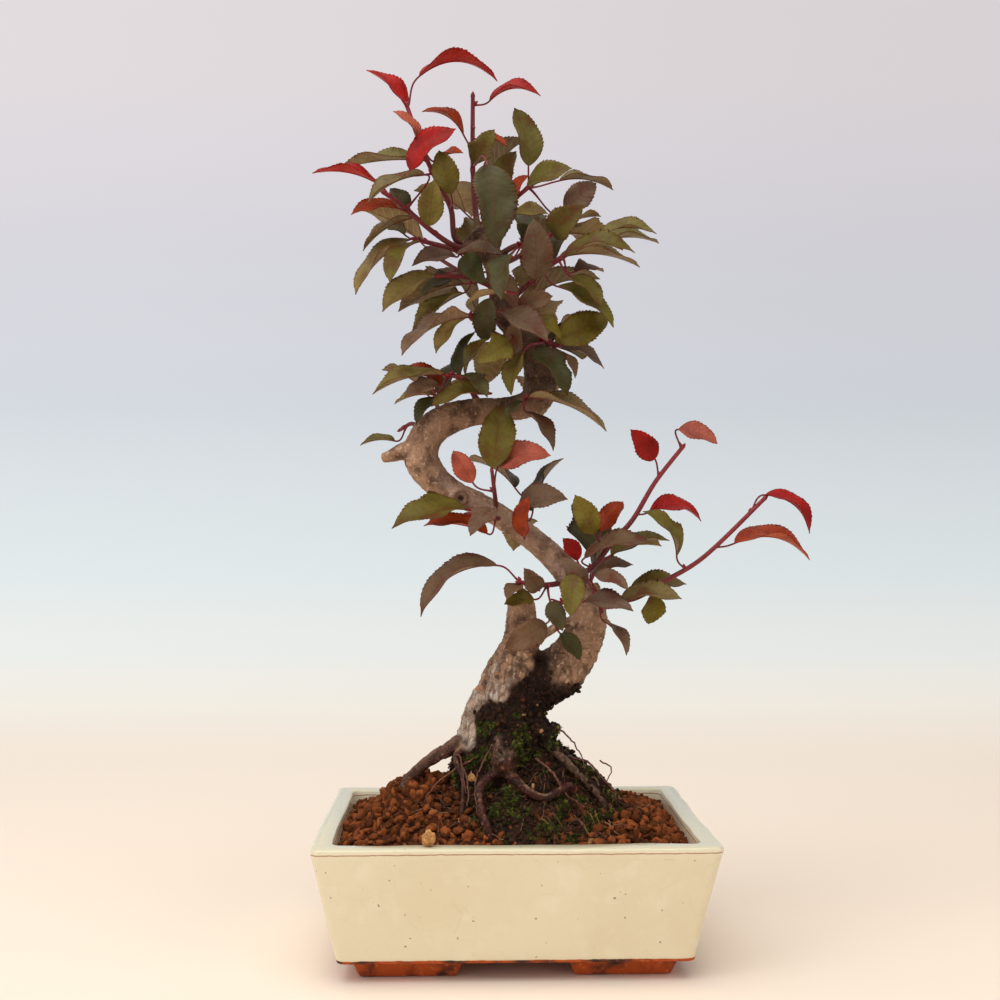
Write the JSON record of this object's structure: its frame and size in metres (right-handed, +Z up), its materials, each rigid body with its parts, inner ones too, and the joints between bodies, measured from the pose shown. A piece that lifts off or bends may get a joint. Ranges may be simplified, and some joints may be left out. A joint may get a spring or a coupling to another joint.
{
  "type": "potted apple bonsai",
  "caption": "S-bent apple bonsai with a forked mossy base, cut-back trunk and sprays of red to olive serrated leaves, in a low rectangular glazed pot on feet.",
  "frame": {"origin": "on the surface that the pot's feet stand on, below the middle of the whole plant's extent in X and Y; the pot's own centre is 21.2 mm to the left of it and 3.4 mm in front of it", "axes": "+Z up along the tree; -Y is the front, from which the tree is viewed; +X is to the viewer's right, along the pot's length"},
  "size_m": [0.2018, 0.1203, 0.3642],
  "materials": {
    "ivory_glaze": "gloss",
    "screen_plastic": "matte",
    "akadama": "matte",
    "mossy_root_soil": "matte",
    "yellow_stone": "matte",
    "bark": "matte",
    "red_leaf": "satin",
    "orange_leaf": "satin",
    "pink_leaf": "satin",
    "olive_leaf": "satin",
    "green_leaf": "satin",
    "beige_leaf": "satin",
    "mauve_leaf": "satin",
    "brown_leaf": "satin"
  },
  "bodies": {
    "root": {"pot": "ivory_glaze", "drain_screen_left": "screen_plastic", "drain_screen_right": "screen_plastic", "akadama_soil": "akadama", "moss_mound": "mossy_root_soil", "pebble": "yellow_stone", "trunk": "bark", "shoot_top_left": "red_leaf", "shoot_leader": "orange_leaf", "spray_crown_right": "olive_leaf", "shoot_crown_left": "beige_leaf", "spray_upper_right": "green_leaf", "shoot_right": "olive_leaf", "spray_left_upper": "olive_leaf", "spray_left_mid": "beige_leaf", "spray_left_low": "mauve_leaf", "spray_centre_right": "brown_leaf", "spray_right_mid": "olive_leaf", "spray_elbow_right": "beige_leaf", "spray_elbow_left": "olive_leaf", "spray_elbow_tip": "olive_leaf", "shoot_front": "pink_leaf", "spray_run_left": "olive_leaf", "spray_run_right": "mauve_leaf", "shoot_long_left": "brown_leaf", "spray_fork_front": "green_leaf", "shoot_lower_right_tall": "olive_leaf", "shoot_lower_right_long": "olive_leaf", "spray_lower_right": "mauve_leaf", "far_spray_low": "green_leaf", "far_spray_run": "green_leaf", "far_spray_elbow": "green_leaf", "far_spray_bend": "green_leaf", "far_spray_mid_left": "green_leaf", "far_spray_mid_right": "green_leaf", "far_spray_upper_left": "green_leaf", "far_spray_upper_right": "green_leaf", "far_spray_crown": "green_leaf"}
  },
  "joints": []
}
